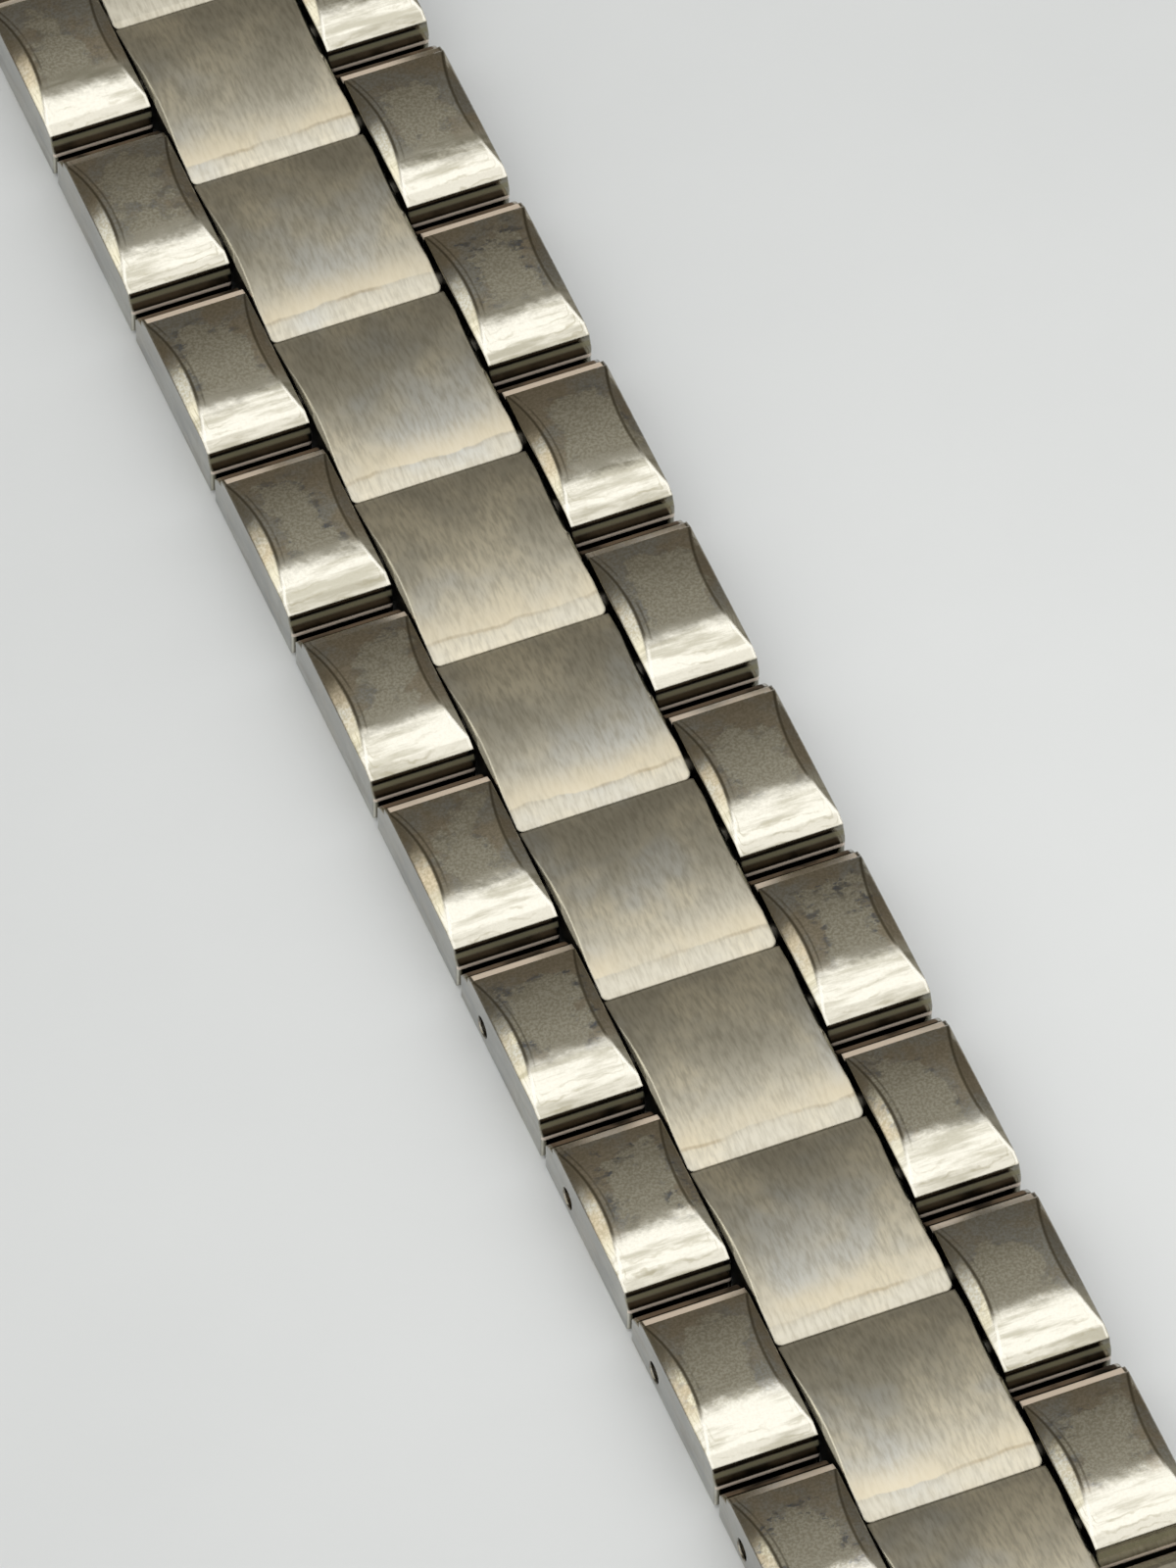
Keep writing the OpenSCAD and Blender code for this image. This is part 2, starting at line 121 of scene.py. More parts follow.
room = bpy.data.worlds.new("room")
room.use_nodes = True
scene.world = room
tree = room.node_tree
tree.nodes.clear()
direction = add(tree, "TexCoord").outputs["Generated"]
above_edge = vectors(tree, "DOT_PRODUCT", direction, (0, -math.sin(LIGHT_EDGE), math.cos(LIGHT_EDGE)))
to_left = vectors(tree, "DOT_PRODUCT", direction, (-1, 0, 0))
beside = times(tree, fade(tree, to_left, *LEFT_EDGE), fade(tree, above_edge, *LEFT_HEIGHT))
colour = mixed(tree, fade(tree, above_edge, *DIM_TURN), DIM_COLOUR, NEAR_COLOUR)
colour = mixed(tree, beside, colour, LEFT_COLOUR)
light = mixed(tree, fade(tree, above_edge, *ZENITH_TURN), LIGHT_COLOUR, ZENITH_COLOUR)
colour = mixed(tree, fade(tree, above_edge, *LIGHT_SOFTNESS), colour, light)
colour = mixed(tree, add(tree, "LightPath").outputs["Is Camera Ray"], colour, BACKDROP_COLOUR)
glow = add(tree, "Background", {"Color": colour, "Strength": 1.0})
tree.links.new(glow.outputs[0], add(tree, "OutputWorld").inputs[0])

# The band lies on a sheet of pale, slightly mottled paper, with a pool of light painted on it
# beside the near end. The sheet is a hair lower than the links' undersides.
PAPER_SIZE = 8.0
PAPER_LEVEL = -0.02 * MM
PAPER_COLOUR = (0.79, 0.817, 0.855, 1)
PAPER_SHADE = (0.672, 0.697, 0.73, 1)
PAPER_ROUGHNESS = 0.9
LIGHT_POOL_PLACE = (22 * MM, 8 * MM, 0)
LIGHT_POOL_REACH = (5 * MM, 75 * MM)
LIGHT_POOL_SHARE = 0.9
LIGHT_POOL_START = -0.15
MOTTLE_NOISE = (90, 4, 0.6)
MOTTLE_SHARE = 0.3
FIBRE_NOISE = (2500, 2)
FIBRE_DEPTH = 0.02 * MM
FIBRE_STRENGTH = 0.3


def new_material(name):
    """Makes a material with a bare tree and returns both."""
    made = bpy.data.materials.new(name)
    made.use_nodes = True
    made.node_tree.nodes.clear()
    return made, made.node_tree


def surface(tree, inputs):
    """Ends a material in one Principled shader."""
    shader = add(tree, "BsdfPrincipled", inputs)
    tree.links.new(shader.outputs[0], add(tree, "OutputMaterial").inputs[0])


def object_place(tree):
    """Gives the place on the object, in metres."""
    return add(tree, "TexCoord").outputs["Object"]


def noise(tree, place, scale, detail=2.0, roughness=0.5):
    """Gives smooth random values between 0 and 1. The scale is in waves per metre."""
    inputs = {"Vector": place, "Scale": scale, "Detail": detail, "Roughness": roughness}
    return add(tree, "TexNoise", inputs).outputs["Fac"]


bpy.ops.mesh.primitive_plane_add(size=PAPER_SIZE, location=(0, 0, PAPER_LEVEL))
paper = bpy.context.object
paper.name = "paper"
paper_material, tree = new_material("paper")
place = object_place(tree)
# Painted pool of light: the paper is painted lighter near the near end, and a real mottle is added on top.
light_pool_and_mottle = fade(tree, vectors(tree, "DISTANCE", place, LIGHT_POOL_PLACE), *LIGHT_POOL_REACH, 1.0, 0.0)
light_pool_and_mottle = maths(tree, "MULTIPLY_ADD", light_pool_and_mottle, LIGHT_POOL_SHARE, LIGHT_POOL_START)
light_pool_and_mottle = maths(tree, "MULTIPLY_ADD", noise(tree, place, *MOTTLE_NOISE), MOTTLE_SHARE, light_pool_and_mottle)
fibre = {"Height": noise(tree, place, *FIBRE_NOISE), "Distance": FIBRE_DEPTH, "Strength": FIBRE_STRENGTH}
surface(tree, {
    "Base Color": mixed(tree, light_pool_and_mottle, PAPER_SHADE, PAPER_COLOUR),
    "Roughness": PAPER_ROUGHNESS,
    "Normal": add(tree, "Bump", fibre).outputs[0],
})
paper.data.materials.append(paper_material)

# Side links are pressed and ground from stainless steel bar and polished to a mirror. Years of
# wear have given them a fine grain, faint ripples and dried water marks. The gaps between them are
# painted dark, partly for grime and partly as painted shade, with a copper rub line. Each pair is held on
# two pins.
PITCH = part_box("long_02_sides")[0].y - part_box("long_01_sides")[0].y
LONG_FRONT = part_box("long_01_sides")[0].y
SHORT_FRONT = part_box("short_01_sides")[1].y
LEAD = 0.3 * MM
ROW_GAP = 0.2 * MM
SIDE_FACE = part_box("long_01_sides")[1].x
SIDE_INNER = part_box("long_01_centre")[1].x + ROW_GAP
WALL_TOP = 2.61 * MM
BEVEL_WIDTH = 0.6 * MM
BEVEL_DROP = 0.34 * MM


def new_group(name, inputs, outputs):
    """Starts a shader node group with named inputs, given with their first values, and outputs."""
    group = bpy.data.node_groups.new(name, "ShaderNodeTree")
    for label, value in inputs.items():
        kind = "NodeSocketColor" if isinstance(value, tuple) else "NodeSocketFloat"
        group.interface.new_socket(label, in_out="INPUT", socket_type=kind).default_value = value
    for label, kind in outputs.items():
        group.interface.new_socket(label, in_out="OUTPUT", socket_type="NodeSocket" + kind)
    return group, group.nodes.new("NodeGroupInput").outputs, group.nodes.new("NodeGroupOutput").inputs


def give(tree, result, values):
    """Hands a group's values to its outputs."""
    for label, value in values.items():
        tree.links.new(value, result[label])


def use(tree, group, **inputs):
    """Places a group in a material with its own values."""
    made = tree.nodes.new("ShaderNodeGroup")
    made.node_tree = group
    for name, value in inputs.items():
        if isinstance(value, bpy.types.NodeSocket):
            tree.links.new(value, made.inputs[name])
        else:
            made.inputs[name].default_value = value
    return made.outputs


def turned_to(tree, normal, source, target, kind="NORMAL"):
    """Turns a direction from the world's axes to the object's, or back."""
    options = {"vector_type": kind, "convert_from": source, "convert_to": target}
    return add(tree, "VectorTransform", {0: normal}, **options).outputs[0]


def stretched(tree, place, rates):
    """Stretches a place, so that a pattern on it changes at its own rate each way."""
    return vectors(tree, "MULTIPLY", place, rates)


def between(tree, value, rise_start, rise_end, fall_start, fall_end):
    """Gives 1 between two soft edges, and 0 outside them."""
    return times(tree, fade(tree, value, rise_start, rise_end), fade(tree, value, fall_end, fall_start))


def soft_edges(tree, radius):
    """Gives a normal that turns round the edges in the given radius."""
    return add(tree, "Bevel", {"Radius": radius}, samples=EDGE_SAMPLES).outputs[0]


def raised(tree, height, normal):
    """Raises the surface by a height in metres."""
    return add(tree, "Bump", {"Height": height, "Distance": 1.0, "Normal": normal}).outputs[0]


# Where a point lies on its link and which way its face looks. Along is its distance behind the
# link's front, from a short lead before it, Edge that from the nearer long edge, and Step the
# signed distance from front to front, in metres. Tilts and leans are parts of the normal.
EDGE_RADIUS = 0.15 * MM
EDGE_SAMPLES = 6
UPWARD_TILT = (0.1, 0.3)
FORWARD_TILT = (0.75, 0.85)
TOP_TILT = (0.85, 0.92)
TOP_LEAN = (0.3, 0.15)
BEVEL_LEAN = (0.28, 0.42)
RIM_LEAN = (0.6, 0.75)
WALL_LEAN = (0.85, 0.97)
FRONT_REACH = (0.45 * MM, 0.4 * MM)
INSIDE_START = (0.1 * MM, 0.2 * MM)
CREST_WIDTH = (0.17 * MM, 0.07 * MM)
SECOND_LINE = 0.33 * MM
SECOND_WIDTH = (0.07 * MM, 0.02 * MM)

link_place, given, result = new_group(
    "place on a link",
    {"Front": 0.0, "Step": PITCH},
    dict.fromkeys(("Along", "Edge", "Level", "Turned", "Crest", "Second line", "Bevel", "Rim",
                   "Wall", "Front", "Inside"), "Float") | {"Soft normal": "Vector"},
)
tree = link_place
split = add(tree, "SeparateXYZ", {0: object_place(tree)}).outputs
turned = maths(tree, "SIGN", given["Step"])
first_front = maths(tree, "MULTIPLY_ADD", turned, -LEAD, given["Front"])
link_count = maths(tree, "DIVIDE", maths(tree, "SUBTRACT", split["Y"], first_front), given["Step"])
along = maths(tree, "MULTIPLY_ADD", maths(tree, "FRACT", link_count), PITCH, -LEAD)
off_middle = maths(tree, "ABSOLUTE", split["X"])
to_outer = maths(tree, "SUBTRACT", SIDE_FACE, off_middle)
to_inner = maths(tree, "SUBTRACT", off_middle, SIDE_INNER)
edge = maths(tree, "MINIMUM", to_outer, to_inner)

soft_normal = soft_edges(tree, EDGE_RADIUS)
facing = add(tree, "SeparateXYZ", {0: turned_to(tree, soft_normal, "WORLD", "OBJECT")}).outputs
sideways = maths(tree, "ABSOLUTE", facing["X"])
upward = fade(tree, facing["Z"], *UPWARD_TILT)
forward = fade(tree, maths(tree, "ABSOLUTE", facing["Y"]), *FORWARD_TILT)
on_top = times(tree, fade(tree, sideways, *TOP_LEAN), fade(tree, facing["Z"], *TOP_TILT))

# The bevels meet the top in a crest, which lies further in where the arch stands higher. A
# second line runs inside the crest on the left edges.
above_wall = highest(tree, maths(tree, "SUBTRACT", split["Z"], WALL_TOP), 0.0)
to_crest = maths(tree, "MULTIPLY_ADD", above_wall, -BEVEL_WIDTH / BEVEL_DROP, edge)
on_left = times(tree, maths(tree, "SUBTRACT", to_outer, to_inner), maths(tree, "SIGN", split["X"]))
on_left = maths(tree, "GREATER_THAN", on_left, 0.0)
to_second = maths(tree, "ABSOLUTE", maths(tree, "SUBTRACT", to_crest, SECOND_LINE))
give(tree, result, {
    "Along": along,
    "Edge": edge,
    "Level": split["Z"],
    "Turned": turned,
    "Crest": times(tree, on_top, fade(tree, to_crest, *CREST_WIDTH)),
    "Second line": times(tree, on_top, fade(tree, to_second, *SECOND_WIDTH), on_left),
    "Bevel": times(tree, fade(tree, sideways, *BEVEL_LEAN), upward),
    "Rim": times(tree, fade(tree, sideways, *RIM_LEAN), upward),
    "Wall": fade(tree, sideways, *WALL_LEAN),
    "Front": times(tree, forward, fade(tree, along, *FRONT_REACH)),
    "Inside": fade(tree, to_outer, *INSIDE_START),
    "Soft normal": soft_normal,
})

# The polish isn't quite flat. Broad and fine ripples bend what it mirrors, and a fine grain
# breaks it up. Their depths are in metres.
WAVES = (330, 420, 300)
WAVE_NOISE = (1, 2, 0.45)
FINE_WAVES = (1500, 800, 1500)
FINE_WAVE_NOISE = (1, 2, 0.5)
GRAIN_NOISE = (7500, 2, 0.6)

ripples, given, result = new_group(
    "ripples",
    {"Ripple": 0.03 * MM, "Fine ripple": 0.009 * MM, "Grain": 0.0008 * MM},
    {"Height": "Float", "Grain": "Float"},
)
tree = ripples
place = object_place(tree)
wave = noise(tree, stretched(tree, place, WAVES), *WAVE_NOISE)
fine_wave = noise(tree, stretched(tree, place, FINE_WAVES), *FINE_WAVE_NOISE)
grain = noise(tree, place, *GRAIN_NOISE)
height = maths(tree, "MULTIPLY", wave, given["Ripple"])
height = maths(tree, "MULTIPLY_ADD", fine_wave, given["Fine ripple"], height)
height = maths(tree, "MULTIPLY_ADD", grain, given["Grain"], height)
give(tree, result, {"Height": height, "Grain": grain})

# Marks on the tops. Soft bands and a few thin lines flow along the front edge. Water has dried
# on the back of some links and left a blue-grey and brown film with dark, crackled rims.
LINE_SPACING = 0.5 * MM
LINE_CORNER = 0.5 * MM
LINE_END = (1.1 * MM, 2.2 * MM)
LINE_CROWDING = 3
LINE_STRETCH = (1, 1.6, 1)
LINE_NOISE = (300, 4, 0.6)
LINE_BEND = 4.2
LINE_WIDTH = (0.2, 0.02)
STRENGTH_NOISE = (560, 4, 0.65)
LINE_STRENGTH = (0.42, 0.64, 0.0, 0.5)
MIRRORED = (-1, 1, 1)
BANDS = (220, 1400, 220)
BAND_NOISE = (1, 4, 0.6)
BAND_STRENGTH = (0.45, 0.65, 0.0, 0.85)
BACK_START = (2.4 * MM, 3.8 * MM)
TOP_BACK = 8.0 * MM
MARK_CORNER = 1.5 * MM
MARK_STRETCH = (1, 1, 0.3)
MARK_NOISE = (300, 5, 0.62)
MARK_WANDER = 6 * MM
MARK_INSET = 4.1 * MM
MARK_EDGE = (0.12 * MM, -0.12 * MM)
FILM_STRETCH = (1, -1, 0.3)
FILM_NOISE = (380, 4, 0.65)
FILM_TURN = (0.4, 0.6)
FILM_SHARE = 0.75
CRACKLE_STRETCH = (1, 1.6, 0.3)
CRACKLE_NOISE = (1300, 4, 0.7)
CRACKLE_WIDTH = 0.6 * MM
CRACKLE = (0.5, 0.6)
SOAKED_NOISE = (60, 2)
SOAKED = (0.42, 0.6, 0.3, 1.0)

stains, given, result = new_group(
    "stains",
    {"Steel": (0.7, 0.68, 0.61, 1), "Blue": (0.50, 0.515, 0.54, 1), "Brown": (0.52, 0.44, 0.35, 1),
     "Line": (0.34, 0.31, 0.21, 1), "Band": (0.44, 0.42, 0.34, 1), "Ink": (0.20, 0.22, 0.28, 1),
     "Along": 0.0, "Edge": 0.0},
    {"Color": "Color", "Rear": "Float"},
)
tree = stains
place = object_place(tree)
mirrored = stretched(tree, place, MIRRORED)
rear = fade(tree, given["Along"], *BACK_START)

# Lines and bands, which follow the front and bend back beside the long edges
inset = maths(tree, "SMOOTH_MIN", given["Along"], times(tree, given["Edge"], LINE_CROWDING), LINE_CORNER)
bend = noise(tree, stretched(tree, place, LINE_STRETCH), *LINE_NOISE)
flow = maths(tree, "MULTIPLY_ADD", bend, LINE_BEND, maths(tree, "DIVIDE", inset, LINE_SPACING))
line = fade(tree, maths(tree, "PINGPONG", flow, 0.5), *LINE_WIDTH)
line = times(tree, line, fade(tree, noise(tree, mirrored, *STRENGTH_NOISE), *LINE_STRENGTH))
line = times(tree, line, fade(tree, inset, *LINE_END, 1.0, 0.0))
band = noise(tree, stretched(tree, place, BANDS), *BAND_NOISE)
band = times(tree, fade(tree, band, *BAND_STRENGTH), maths(tree, "SUBTRACT", 1.0, rear))
film = mixed(tree, band, given["Steel"], given["Band"])
film = mixed(tree, line, film, given["Line"])

# The dried film, which keeps off the back and the long edges, and its crackled rim
to_back = maths(tree, "SUBTRACT", TOP_BACK, given["Along"])
inset = maths(tree, "SMOOTH_MIN", to_back, given["Edge"], MARK_CORNER)
wander = noise(tree, stretched(tree, place, MARK_STRETCH), *MARK_NOISE)
inset = maths(tree, "MULTIPLY_ADD", wander, MARK_WANDER, maths(tree, "SUBTRACT", inset, MARK_INSET))
wet = times(tree, fade(tree, inset, *MARK_EDGE), rear)
patches = noise(tree, stretched(tree, place, FILM_STRETCH), *FILM_NOISE)
film_colour = mixed(tree, fade(tree, patches, *FILM_TURN), given["Brown"], given["Blue"])
film = mixed(tree, times(tree, wet, FILM_SHARE), film, film_colour)
crackle = fade(tree, noise(tree, stretched(tree, place, CRACKLE_STRETCH), *CRACKLE_NOISE), *CRACKLE)
at_rim = fade(tree, maths(tree, "ABSOLUTE", inset), CRACKLE_WIDTH, 0)
soaked = fade(tree, noise(tree, mirrored, *SOAKED_NOISE), *SOAKED)
crackle = times(tree, at_rim, crackle, rear, soaked)
give(tree, result, {"Color": mixed(tree, crackle, film, given["Ink"]), "Rear": rear})

# Low down between the links, behind the step at each top's back, the steel is painted near black,
# partly for grime and partly as painted shade. Where the next link's front rubs, it is worn to a copper
# line.
STEP_PLACE = (8.12 * MM, 8.18 * MM)
TOP_EDGE = (2.40 * MM, 2.25 * MM)
RUB_PLACE = (8.8 * MM, 8.9 * MM, 9.2 * MM, 9.35 * MM)
RUB_NOISE = (420, 3)
RUB = (0.28, 0.55)
GRIME_AND_SHADE_BLACK = (0.012, 0.010, 0.007, 1)
COPPER = (0.15, 0.10, 0.062, 1)

grime_and_gap_shade, given, result = new_group(
    "grime_and_gap_shade",
    {"Along": 0.0, "Inside": 1.0, "Level": 0.0},
    {"Mask": "Float", "Rub": "Float", "Color": "Color"},
)
tree = grime_and_gap_shade
behind = fade(tree, given["Along"], *STEP_PLACE)
# The near-black mask paints grime and painted shade together, low in the gap.
mask = times(tree, behind, fade(tree, given["Level"], *TOP_EDGE), given["Inside"])
rub = between(tree, given["Along"], *RUB_PLACE)
rub = times(tree, rub, fade(tree, noise(tree, object_place(tree), *RUB_NOISE), *RUB))
give(tree, result, {"Mask": mask, "Rub": times(tree, rub, mask), "Color": mixed(tree, rub, GRIME_AND_SHADE_BLACK, COPPER)})

# Strokes of a fine belt, drawn out lengthwise, for the end links' middle row and for all the
# satin pieces. Across and Along are strokes per metre.
CENTRE_STEEL = (0.60, 0.57, 0.485, 1)
STREAK_DARK = (0.36, 0.33, 0.26, 1)
STROKE_NOISE = (1, 3, 0.55)
STREAK_SHARE = (0.35, 0.75, 0.0, 0.6)

brushing, given, result = new_group(
    "brushing",
    {"Across": 6500.0, "Along": 1300.0, "Depth": 0.0008 * MM},
    {"Height": "Float", "Streaks": "Float"},
)
tree = brushing
rates = {"X": given["Across"], "Y": given["Along"], "Z": given["Along"]}
rates = add(tree, "CombineXYZ", rates).outputs[0]
streaks = noise(tree, stretched(tree, object_place(tree), rates), *STROKE_NOISE)
give(tree, result, {"Height": times(tree, streaks, given["Depth"]), "Streaks": streaks})

# The finish of both halves' side links. A speckled film lies on the tops, the side faces are duller,
# blotted and painted darker as painted shade, and the edges carry painted highlights and painted dark
# lines.
SIDE_STEEL = (0.74, 0.72, 0.645, 1)
PATINA_AND_SHADE = (0.36, 0.32, 0.23, 1)
SPECKLE = (0.35, 0.65, 0.0, 0.55)
FRONT_SPECKLE = 0.12
WALL_FILM_AND_SHADE = (0.37, 0.37, 0.345, 1)
WALL_BROWN = (0.17, 0.14, 0.10, 1)
WALL_BLUE = (0.16, 0.17, 0.19, 1)
CLOUD_STRETCH = (1, 1, 2.5)
CLOUD_NOISE = (420, 4, 0.65)
CLOUD = (0.35, 0.65, 0.7, 1.0)
BLOT_STRETCH = (1, -0.35, 1.8)
BLOT_NOISE = (900, 4, 0.6)
BLOTS = (0.42, 0.66, 0.0, 0.5)
BLOT_TURN = (0.45, 0.55)
LOW_DOWN = (2.6 * MM, 0.4 * MM, 0.25, 1.0)
DARK_EDGE_COLOUR = (0.13, 0.11, 0.07, 1)
DARK_EDGE_REACH = (2.2 * MM, 3.4 * MM, 0.0, 0.85)
CREST_HIGHLIGHT_REACH = (3.2 * MM, 1.6 * MM, 0.0, 0.9)
BROKEN_NOISE = (500, 3)
BROKEN = (0.35, 0.55, 0.1, 0.6)
HIGHLIGHT_STEEL = (0.93, 0.91, 0.84, 1)
RIM_SHARE = 0.6
BACK_SHADE = (4.5 * MM, 8 * MM, 0.0, 0.6)
SLOPE_SHADE = (0.12, 0.11, 0.08, 1)
SLOPE_SHARE = 0.8
OLIVE = (0.18, 0.17, 0.11, 1)
SLOPE = (1.8 * MM, 2.0 * MM, 2.08 * MM, 2.2 * MM)
LIP_STEEL = (0.62, 0.54, 0.47, 1)
LIP_LEVEL = 1.45 * MM
LIP_HEIGHT = (0.13 * MM, 0.05 * MM)
LIP_REACH = (0.14 * MM, 0.08 * MM)
STRIP_STEEL = (0.78, 0.66, 0.55, 1)
STRIP = (8.04 * MM, 8.12 * MM, 8.46 * MM, 8.52 * MM)
STRIP_LEVEL = (2.36 * MM, 2.41 * MM)
STRIP_NOISE = (110, 2)
STRIP_SHARE = (0.38, 0.56, 0.1, 1.0)
SCUFF_SHARE = 0.75
SCUFF_METAL = 0.2
BEVEL_MIDDLE = 4.6 * MM
BEVEL_RADIUS = 17 * MM
GLOSS = (0.2, 0.8, 0.06, 0.13)
GRIME_ROUGHNESS = 0.6
MIDDLE_ROW = (-0.02 * MM, -0.08 * MM)
MIDDLE_ROUGHNESS = 0.33


def polished(name, front, step):
    """Polished steel for the links of one half, which start at front and follow by step."""
    made, tree = new_material(name)
    spot = use(tree, link_place, Front=front, Step=step)
    relief = use(tree, ripples)
    film = use(tree, stains, Steel=SIDE_STEEL, Along=spot["Along"], Edge=spot["Edge"])
    # The gap mask below paints grime and painted shade between the links.
    dirt_and_gap_shade = use(tree, grime_and_gap_shade, Along=spot["Along"], Inside=spot["Inside"], Level=spot["Level"])
    place = object_place(tree)

    # The grain shows as fine speckle on the tops' backs
    speckle = fade(tree, film["Rear"], 0, 1, FRONT_SPECKLE, 1)
    speckle = times(tree, fade(tree, relief["Grain"], *SPECKLE), speckle)
    colour = mixed(tree, speckle, film["Color"], PATINA_AND_SHADE)

    # The side faces are duller and painted darker as painted shade, with blots mainly low down
    cloud = noise(tree, stretched(tree, place, CLOUD_STRETCH), *CLOUD_NOISE)
    colour = mixed(tree, times(tree, spot["Wall"], fade(tree, cloud, *CLOUD)), colour, WALL_FILM_AND_SHADE)
    blots = fade(tree, noise(tree, stretched(tree, place, BLOT_STRETCH), *BLOT_NOISE), *BLOTS)
    blots = times(tree, blots, spot["Wall"], fade(tree, spot["Level"], *LOW_DOWN))
    colour = mixed(tree, blots, colour, mixed(tree, fade(tree, cloud, *BLOT_TURN), WALL_BROWN, WALL_BLUE))

    # The bevels are painted darker towards the back as painted shade, with painted dark reflections
    # lining their edges. Near the front the upper edge carries a painted highlight.
    colour = mixed(tree, times(tree, spot["Bevel"], fade(tree, spot["Along"], *BACK_SHADE)), colour, PATINA_AND_SHADE)
    broken = fade(tree, noise(tree, place, *BROKEN_NOISE), *BROKEN)
    dark_edges = highest(tree, spot["Crest"], times(tree, spot["Second line"], broken))
    dark_edges = times(tree, dark_edges, fade(tree, spot["Along"], *DARK_EDGE_REACH))
    colour = mixed(tree, dark_edges, colour, DARK_EDGE_COLOUR)
    crest_highlight = times(tree, spot["Crest"], fade(tree, spot["Along"], *CREST_HIGHLIGHT_REACH))
    colour = mixed(tree, crest_highlight, colour, HIGHLIGHT_STEEL)
    colour = mixed(tree, times(tree, spot["Rim"], RIM_SHARE), colour, DARK_EDGE_COLOUR)

    # The slope below the front is painted dark as painted shade, with an olive film, and dust clings to
    # its lip
    colour = mixed(tree, times(tree, spot["Front"], SLOPE_SHARE), colour, SLOPE_SHADE)
    olive = times(tree, spot["Front"], between(tree, spot["Level"], *SLOPE))
    colour = mixed(tree, olive, colour, OLIVE)
    off_lip = maths(tree, "ABSOLUTE", maths(tree, "SUBTRACT", spot["Level"], LIP_LEVEL))
    lip = times(tree, fade(tree, off_lip, *LIP_HEIGHT), fade(tree, spot["Along"], *LIP_REACH))
    colour = mixed(tree, lip, colour, LIP_STEEL)

    # The short bevel at the back is scuffed on many of the links
    strip = times(tree, between(tree, spot["Along"], *STRIP), fade(tree, spot["Level"], *STRIP_LEVEL))
    strip = times(tree, strip, spot["Inside"], fade(tree, noise(tree, place, *STRIP_NOISE), *STRIP_SHARE))
    colour = mixed(tree, strip, colour, STRIP_STEEL)
    # Real scuffs and the painted crest highlight are made less metallic together.
    scuffs_and_highlight = highest(tree, times(tree, highest(tree, olive, crest_highlight), SCUFF_SHARE), lip, strip, dirt_and_gap_shade["Rub"])

    # The bevels are slightly rounded lengthwise
    tilt = maths(tree, "DIVIDE", maths(tree, "SUBTRACT", spot["Along"], BEVEL_MIDDLE), BEVEL_RADIUS)
    tilt = times(tree, tilt, spot["Turned"], spot["Bevel"])
    lean = turned_to(tree, add(tree, "CombineXYZ", {"Y": tilt}).outputs[0], "OBJECT", "WORLD", "VECTOR")
    normal = vectors(tree, "NORMALIZE", vectors(tree, "ADD", spot["Soft normal"], lean))

    # The middle row of an end link is brushed like the centre links
    middle = fade(tree, spot["Edge"], *MIDDLE_ROW)
    streaks = fade(tree, use(tree, brushing)["Streaks"], *STREAK_SHARE)
    brushed = mixed(tree, streaks, CENTRE_STEEL, STREAK_DARK)
    rough = fade(tree, dirt_and_gap_shade["Mask"], 0, 1, fade(tree, relief["Grain"], *GLOSS), GRIME_ROUGHNESS)
    surface(tree, {
        "Base Color": mixed(tree, middle, mixed(tree, dirt_and_gap_shade["Mask"], colour, dirt_and_gap_shade["Color"]), brushed),
        "Metallic": fade(tree, scuffs_and_highlight, 0, 1, 1.0, SCUFF_METAL),
        "Roughness": fade(tree, middle, 0, 1, rough, MIDDLE_ROUGHNESS),
        "Normal": raised(tree, relief["Height"], normal),
    })
    return made


def dress(name, material):
    """Gives a node its material."""
    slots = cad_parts[name].data.materials
    slots.clear()
    slots.append(material)


units, polish = {}, {}
for half, front, step in (("long", LONG_FRONT, PITCH), ("short", SHORT_FRONT, -PITCH)):
    units[half] = [name.removesuffix("_sides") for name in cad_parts
                   if name.startswith(half + "_") and name.endswith("_sides")]
    polish[half] = polished("polished steel of the " + half + " half", front, step)
    for unit in units[half]:
        dress(unit + "_sides", polish[half])

# Centre links are one piece each, of the same steel, brushed lengthwise with a fine belt to a
# satin finish. They sit a little lower than the side links and turn on the hinge pins.
LONG_CENTRE_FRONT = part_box("long_01_centre")[0].y
SHORT_CENTRE_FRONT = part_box("short_01_centre")[1].y
CENTRE_CREAM = (0.73, 0.67, 0.53, 1)
CREAM_NOISE = (260, 4, 0.6)
CREAM_SHARE = (0.42, 0.66, 0.0, 0.8)
CENTRE_BLUE = (0.57, 0.58, 0.57, 1)
BLUE_NOISE = (190, 3, 0.55)
BLUE_SHARE = (0.5, 0.68, 0.0, 0.7)
CENTRE_EDGE_HIGHLIGHT = (0.88, 0.86, 0.78, 1)
EDGE_ROUGHNESS = 0.16
SATIN_ROUGHNESS = (0.3, 0.7, 0.29, 0.38)
FRONT_BAND = 0.45 * MM
WOBBLE = 1.1 * MM
WOBBLE_STRETCH = (1, 0.3, 1)
WOBBLE_NOISE = (260, 4, 0.6)
FRONT_HIGHLIGHT_STEEL = (0.80, 0.77, 0.68, 1)
FRONT_HIGHLIGHT_FADE = (0.1 * MM, -0.4 * MM)
FRONT_HIGHLIGHT_SHARE = 0.2
TAN_STEEL = (0.73, 0.65, 0.49, 1)
TAN_REACH = (0, 0.1 * MM, 0.2 * MM, 1.9 * MM)
TAN_PATCHES = (0.35, 0.6, 0.2)
TAN_SHARE = 0.75
TAN_LINE = (0.42, 0.33, 0.20, 1)
TAN_LINE_WIDTH = (0.14 * MM, 0.02 * MM)
TAN_LINE_PATCHES = (0.4, 0.62, 0.0)
TAN_LINE_SHARE = 0.5


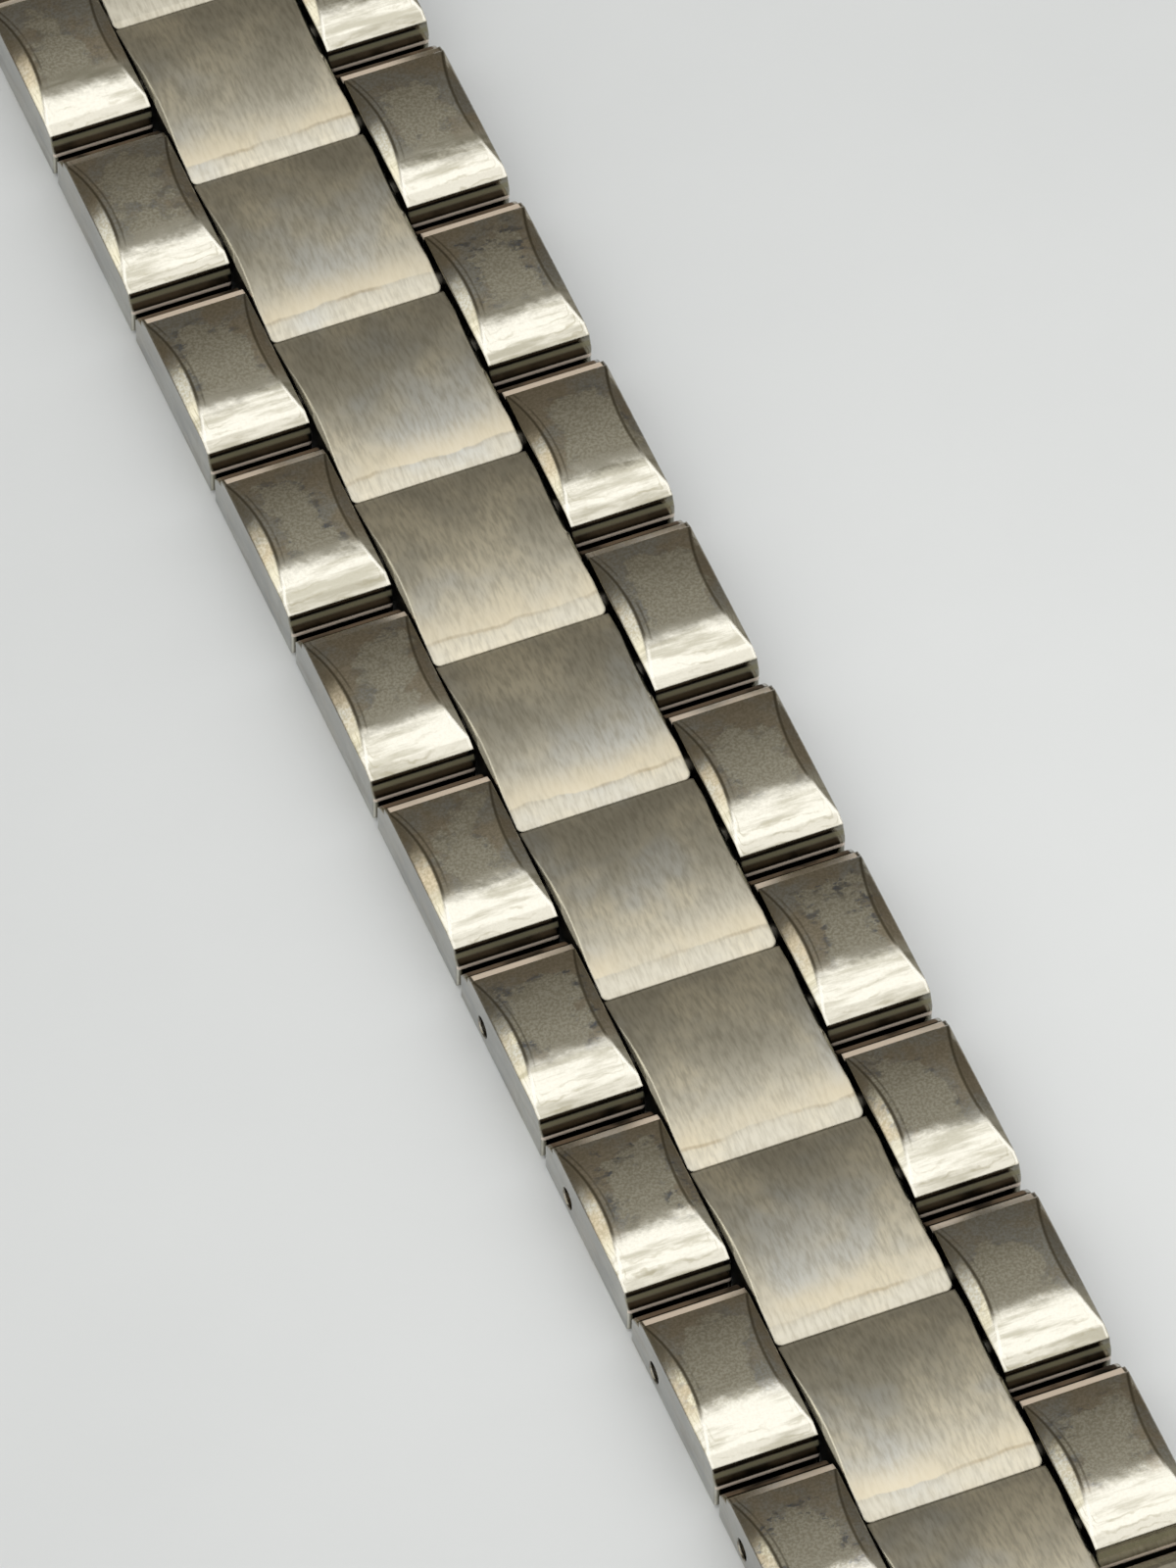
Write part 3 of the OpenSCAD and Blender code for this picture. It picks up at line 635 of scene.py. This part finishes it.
def satin(name, front, step, end_band=1.0, wall_grime_and_shade=0.93):
    """Brushed steel for the centre links of one half, with walls painted near black for grime and shade,
    and a painted highlight band at the front.
    """
    made, tree = new_material(name)
    spot = use(tree, link_place, Front=front, Step=step)
    strokes = use(tree, brushing)
    place = object_place(tree)
    patches = noise(tree, place, *CREAM_NOISE)
    other_patches = noise(tree, stretched(tree, place, MIRRORED), *BLUE_NOISE)
    colour = mixed(tree, fade(tree, patches, *CREAM_SHARE), CENTRE_STEEL, CENTRE_CREAM)
    colour = mixed(tree, fade(tree, other_patches, *BLUE_SHARE), colour, CENTRE_BLUE)
    colour = mixed(tree, fade(tree, strokes["Streaks"], *STREAK_SHARE), colour, STREAK_DARK)

    # A ragged tan line sets off a painted highlight band at the front, with tan stains behind it
    wobble = noise(tree, stretched(tree, place, WOBBLE_STRETCH), *WOBBLE_NOISE)
    line_place = maths(tree, "MULTIPLY_ADD", wobble, WOBBLE, FRONT_BAND)
    past_line = maths(tree, "SUBTRACT", spot["Along"], line_place)
    band = fade(tree, past_line, *FRONT_HIGHLIGHT_FADE, 0.0, FRONT_HIGHLIGHT_SHARE * end_band)
    colour = mixed(tree, band, colour, FRONT_HIGHLIGHT_STEEL)
    stain = fade(tree, other_patches, *TAN_PATCHES, TAN_SHARE * end_band)
    colour = mixed(tree, times(tree, between(tree, past_line, *TAN_REACH), stain), colour, TAN_STEEL)
    line = fade(tree, maths(tree, "ABSOLUTE", past_line), *TAN_LINE_WIDTH)
    line = times(tree, line, fade(tree, patches, *TAN_LINE_PATCHES, TAN_LINE_SHARE * end_band))
    colour = mixed(tree, line, colour, TAN_LINE)

    # The long edges are worn smooth and carry a painted highlight, and the walls below them are
    # painted near black, partly for grime and partly as painted shade
    colour = mixed(tree, spot["Bevel"], colour, CENTRE_EDGE_HIGHLIGHT)
    rough = fade(tree, patches, *SATIN_ROUGHNESS)
    surface(tree, {
        "Base Color": mixed(tree, times(tree, spot["Wall"], wall_grime_and_shade), colour, GRIME_AND_SHADE_BLACK),
        "Metallic": 1.0,
        "Roughness": fade(tree, spot["Bevel"], 0, 1, rough, EDGE_ROUGHNESS),
        "Normal": raised(tree, strokes["Height"], spot["Soft normal"]),
    })
    return made


for half, front, step in (("long", LONG_CENTRE_FRONT, PITCH), ("short", SHORT_CENTRE_FRONT, -PITCH)):
    finish = satin("satin steel of the " + half + " half", front, step)
    for unit in units[half]:
        dress(unit + "_centre", finish)

# Link pins are turned from drawn steel rod and pressed through the side links. Four of them
# are open at the side face, so that links can be taken out.
PIN_STEEL = (0.42, 0.40, 0.36, 1)
PIN_SHADE = (0.3, 0.28, 0.25, 1)
PIN_EDGE = 0.04 * MM
PIN_ROUGHNESS = (0.2, 0.8, 0.28, 0.42)
PIN_STROKES = {"Across": 12000, "Along": 2500}

pin_finish, tree = new_material("turned steel")
strokes = use(tree, brushing, **PIN_STROKES)
surface(tree, {
    "Base Color": mixed(tree, strokes["Streaks"], PIN_STEEL, PIN_SHADE),
    "Metallic": 1.0,
    "Roughness": fade(tree, strokes["Streaks"], *PIN_ROUGHNESS),
    "Normal": raised(tree, strokes["Height"], soft_edges(tree, PIN_EDGE)),
})
for unit in units["long"] + units["short"]:
    dress(unit + "_pins", pin_finish)

# End links close both halves. Each is one milled block with the three rows' arches, polished
# at the sides and brushed in the middle, and bored across for its spring bar.
for half in ("long", "short"):
    dress(half + "_end_link", polish[half])

# Spring bars are rolled steel tubes with their ends turned in over two sliding tips, which a
# coil inside pushes apart.
for bar in ("long_end_bar", "short_end_bar", "clasp_bar"):
    for part in ("barrel", "spring", "left_tip", "right_tip"):
        dress(bar + "_" + part, pin_finish)

# The clasp's cover is folded from sheet, with walls on both sides, and brushed lengthwise. It
# swings on a pin at one end of the upper blade and hides both blades when closed.
plain_satin = satin("plain satin steel", 0.0, PITCH, end_band=0.0, wall_grime_and_shade=0.0)
dress("clasp_cover", plain_satin)

# The blades are stamped from sheet, brushed lengthwise like the cover, and fold on the blade
# pin. The link pin holds the first long unit.
for blade in ("clasp_upper_blade", "clasp_lower_blade"):
    dress(blade, plain_satin)
for pin in ("clasp_cover_pin", "clasp_blade_pin", "clasp_link_pin"):
    dress(pin, pin_finish)
